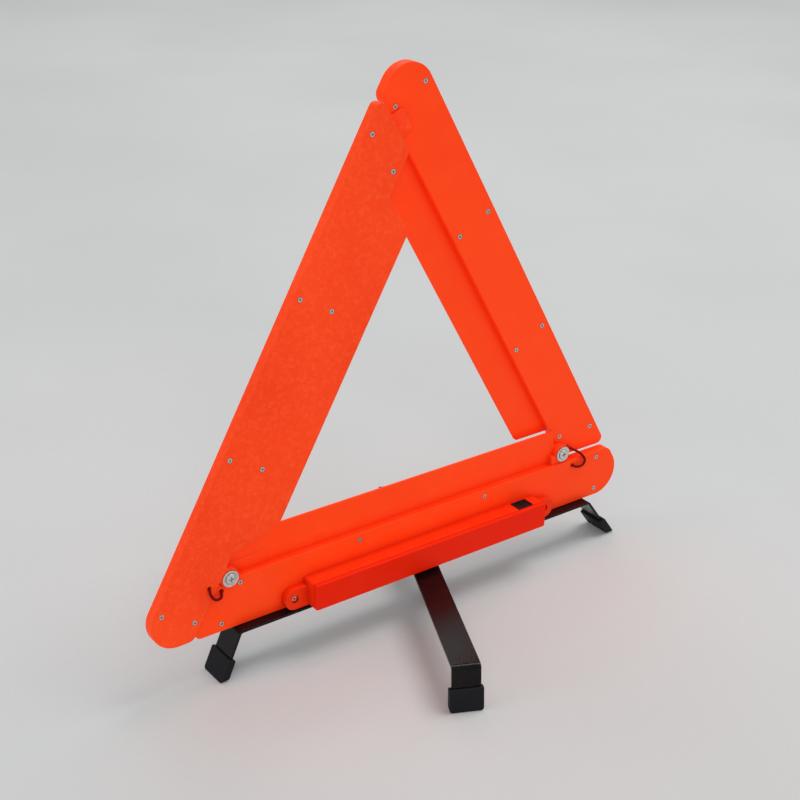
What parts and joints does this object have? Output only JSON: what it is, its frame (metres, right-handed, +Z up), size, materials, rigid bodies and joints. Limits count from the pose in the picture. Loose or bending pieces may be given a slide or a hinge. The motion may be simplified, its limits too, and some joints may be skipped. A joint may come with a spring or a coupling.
{
  "type": "warning triangle",
  "caption": "Folding warning triangle: three hinged orange arms with red reflectors and lamps, a battery box with a rocker switch, and two crossed swivelling strip legs.",
  "frame": {"origin": "centre of the whole object's footprint, on the floor", "axes": "+Z up, the reflective face looks along -Y, the plain back along +Y, X along the base"},
  "size_m": [0.4623, 0.2806, 0.4478],
  "materials": {
    "orange_shell": "satin moulded ABS",
    "orange_box": "satin moulded ABS",
    "red_reflector": "prismatic red reflector",
    "fluorescent_sheet": "fluorescent red sheet",
    "circuit_board": "green board",
    "lamp_lens": "clear red lamp",
    "zinc_steel": "zinc plated",
    "brass_insert": "machined",
    "battery_wrap": "printed sleeve, plain",
    "black_plastic": "fine spark texture",
    "lead_sleeve": "dark red sleeve",
    "black_steel": "satin black powder coat",
    "black_rubber": "matt"
  },
  "bodies": {
    "base": {"base_arm_shell": "orange_shell", "base_reflector_lens": "red_reflector", "base_fluorescent_sheet": "fluorescent_sheet", "base_lamp_board": "circuit_board", "base_lamps": "lamp_lens", "base_arm_screws": "zinc_steel", "leg_bolt_insert": "brass_insert", "battery_box": "orange_box", "battery_cells": "battery_wrap", "battery_contacts": "zinc_steel", "control_board": "circuit_board", "switch_housing": "black_plastic", "battery_box_screws": "zinc_steel", "pivot_screws": "zinc_steel", "pivot_washers": "zinc_steel", "pivot_nuts": "zinc_steel", "left_arm_lead": "lead_sleeve", "right_arm_lead": "lead_sleeve", "leg_bolt": "zinc_steel", "leg_washers": "zinc_steel"},
    "left_arm": {"left_arm_shell": "orange_shell", "left_reflector_lens": "red_reflector", "left_fluorescent_sheet": "fluorescent_sheet", "left_lamp_board": "circuit_board", "left_lamps": "lamp_lens", "left_arm_screws": "zinc_steel"},
    "right_arm": {"right_arm_shell": "orange_shell", "right_reflector_lens": "red_reflector", "right_fluorescent_sheet": "fluorescent_sheet", "right_lamp_board": "circuit_board", "right_lamps": "lamp_lens", "right_arm_screws": "zinc_steel"},
    "long_leg": {"long_leg_strip": "black_steel", "long_leg_feet": "black_rubber"},
    "cross_leg": {"cross_leg_strip": "black_steel", "cross_leg_feet": "black_rubber"},
    "rocker": {"switch_rocker": "black_plastic"},
    "cover": {"battery_cover": "orange_box"}
  },
  "joints": [
    {"name": "left_arm_fold", "type": "hinge", "parent": "base", "child": "left_arm", "pos_m": [0.16422, -0.01062, 0.0853], "axis": [0, -1, 0], "range_deg": [0, 61], "deforming": ["left_arm_lead"]},
    {"name": "right_arm_fold", "type": "hinge", "parent": "base", "child": "right_arm", "pos_m": [-0.16878, -0.02182, 0.0905], "axis": [0, 1, 0], "range_deg": [0, 60], "deforming": ["right_arm_lead"]},
    {"name": "long_leg_swivel", "type": "hinge", "parent": "base", "child": "long_leg", "pos_m": [-0.01958, -0.01162, 0.038], "axis": [0, 0, 1], "range_deg": [-90, 90]},
    {"name": "cross_leg_swivel", "type": "hinge", "parent": "base", "child": "cross_leg", "pos_m": [-0.01958, -0.01162, 0.0354], "axis": [0, 0, 1], "range_deg": [-65, 115]},
    {"name": "switch_press", "type": "hinge", "parent": "base", "child": "rocker", "pos_m": [-0.11578, 0.00058, 0.0595], "axis": [0, -1, 0], "range_deg": [0, 16]},
    {"name": "cover_pull", "type": "slide", "parent": "base", "child": "cover", "axis": [0, 1, 0], "range_m": [0, 0.03]}
  ]
}
